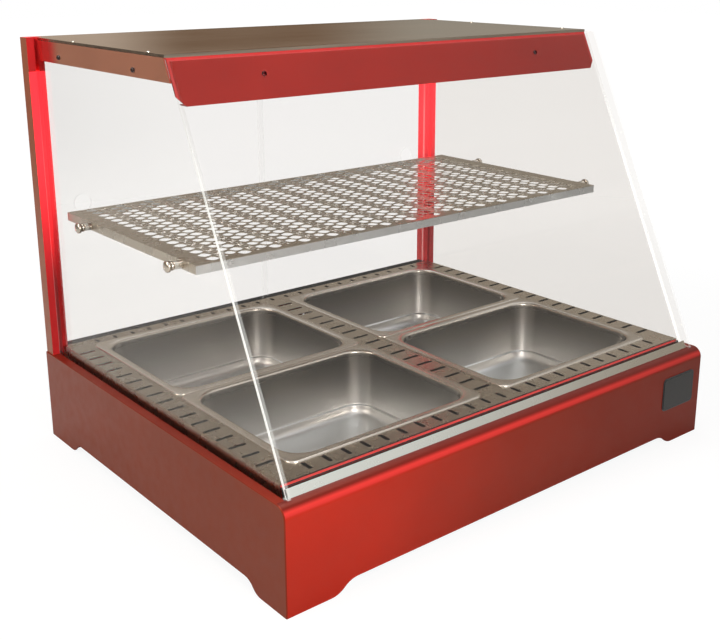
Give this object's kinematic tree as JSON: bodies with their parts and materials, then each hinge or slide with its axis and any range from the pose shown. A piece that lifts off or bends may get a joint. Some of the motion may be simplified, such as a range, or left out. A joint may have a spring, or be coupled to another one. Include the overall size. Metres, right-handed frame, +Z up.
{
  "type": "heated display case",
  "caption": "Counter-top heated display case: red sheet-metal base with gastronorm pans, leaning glass front, pierced shelf and sliding rear glass doors.",
  "frame": {"origin": "on the floor, in the middle of the case's width and depth", "axes": "+X to the right seen from the front, +Y to the back, +Z up"},
  "size_m": [0.8, 0.644, 0.62],
  "materials": {
    "red_paint": "gloss",
    "stainless": "brushed",
    "pan_steel": "satin",
    "shelf_steel": "satin",
    "clear_glass": "polished",
    "black_trim": "matte",
    "polished_steel": "polished",
    "dark_screws": "blackened",
    "heater_sheath": "oxidised",
    "zinc_plate": "zinc plated",
    "control_plastic": "gloss",
    "lamp_lens": "translucent",
    "ceramic": "glazed"
  },
  "bodies": {
    "case": {"bottom_plate": "zinc_plate", "cable_gland": "black_trim", "deck": "stainless", "deck_bearer_left": "zinc_plate", "deck_bearer_right": "zinc_plate", "fascia": "red_paint", "fascia_screws": "dark_screws", "front_gasket": "black_trim", "front_glass": "clear_glass", "front_inner_wall": "red_paint", "front_panel": "red_paint", "glass_channel": "stainless", "heating_rod_left_inner": "heater_sheath", "heating_rod_left_outer": "heater_sheath", "heating_rod_right_inner": "heater_sheath", "heating_rod_right_outer": "heater_sheath", "indicator_lamp": "lamp_lens", "lower_door_track": "black_trim", "mesh_shelf": "shelf_steel", "pin_washers": "polished_steel", "rail_screws": "dark_screws", "rear_header": "red_paint", "rear_panel": "red_paint", "rear_post_left": "red_paint", "rear_post_right": "red_paint", "rear_sill": "red_paint", "rod_brackets": "zinc_plate", "roof_panel": "stainless", "sensor_bulb": "heater_sheath", "sensor_clip": "zinc_plate", "shelf_pins": "polished_steel", "side_glass_left": "clear_glass", "side_glass_right": "clear_glass", "side_panel_left": "red_paint", "side_panel_right": "red_paint", "side_rail_left": "red_paint", "side_rail_right": "red_paint", "switch_housing": "control_plastic", "terminal_block": "ceramic", "thermostat_body": "control_plastic", "upper_door_track": "black_trim"},
    "door_left": {"door_left": "clear_glass"},
    "door_right": {"door_right": "clear_glass"},
    "pan_front_left": {"pan_front_left": "pan_steel"},
    "pan_front_right": {"pan_front_right": "pan_steel"},
    "pan_rear_left": {"pan_rear_left": "pan_steel"},
    "pan_rear_right": {"pan_rear_right": "pan_steel"},
    "knob": {"thermostat_knob": "control_plastic", "thermostat_spindle": "heater_sheath"},
    "rocker": {"rocker_switch": "control_plastic"}
  },
  "joints": [
    {"name": "door_left_slide", "type": "slide", "parent": "case", "child": "door_left", "axis": [1, 0, 0], "range_m": [0, 0.36]},
    {"name": "door_right_slide", "type": "slide", "parent": "case", "child": "door_right", "axis": [-1, 0, 0], "range_m": [0, 0.36]},
    {"name": "pan_front_left_lift", "type": "slide", "parent": "case", "child": "pan_front_left", "axis": [0, 0, 1], "range_m": [0, 0.06]},
    {"name": "pan_front_right_lift", "type": "slide", "parent": "case", "child": "pan_front_right", "axis": [0, 0, 1], "range_m": [0, 0.06]},
    {"name": "pan_rear_left_lift", "type": "slide", "parent": "case", "child": "pan_rear_left", "axis": [0, 0, 1], "range_m": [0, 0.12]},
    {"name": "pan_rear_right_lift", "type": "slide", "parent": "case", "child": "pan_rear_right", "axis": [0, 0, 1], "range_m": [0, 0.12]},
    {"name": "knob_turn", "type": "hinge", "parent": "case", "child": "knob", "pos_m": [0.25, 0.304, 0.078], "axis": [0, 1, 0], "range_deg": [0, 270]},
    {"name": "rocker_tilt", "type": "hinge", "parent": "case", "child": "rocker", "pos_m": [0.322, 0.302, 0.078], "axis": [1, 0, 0], "range_deg": [-16, 0]}
  ]
}
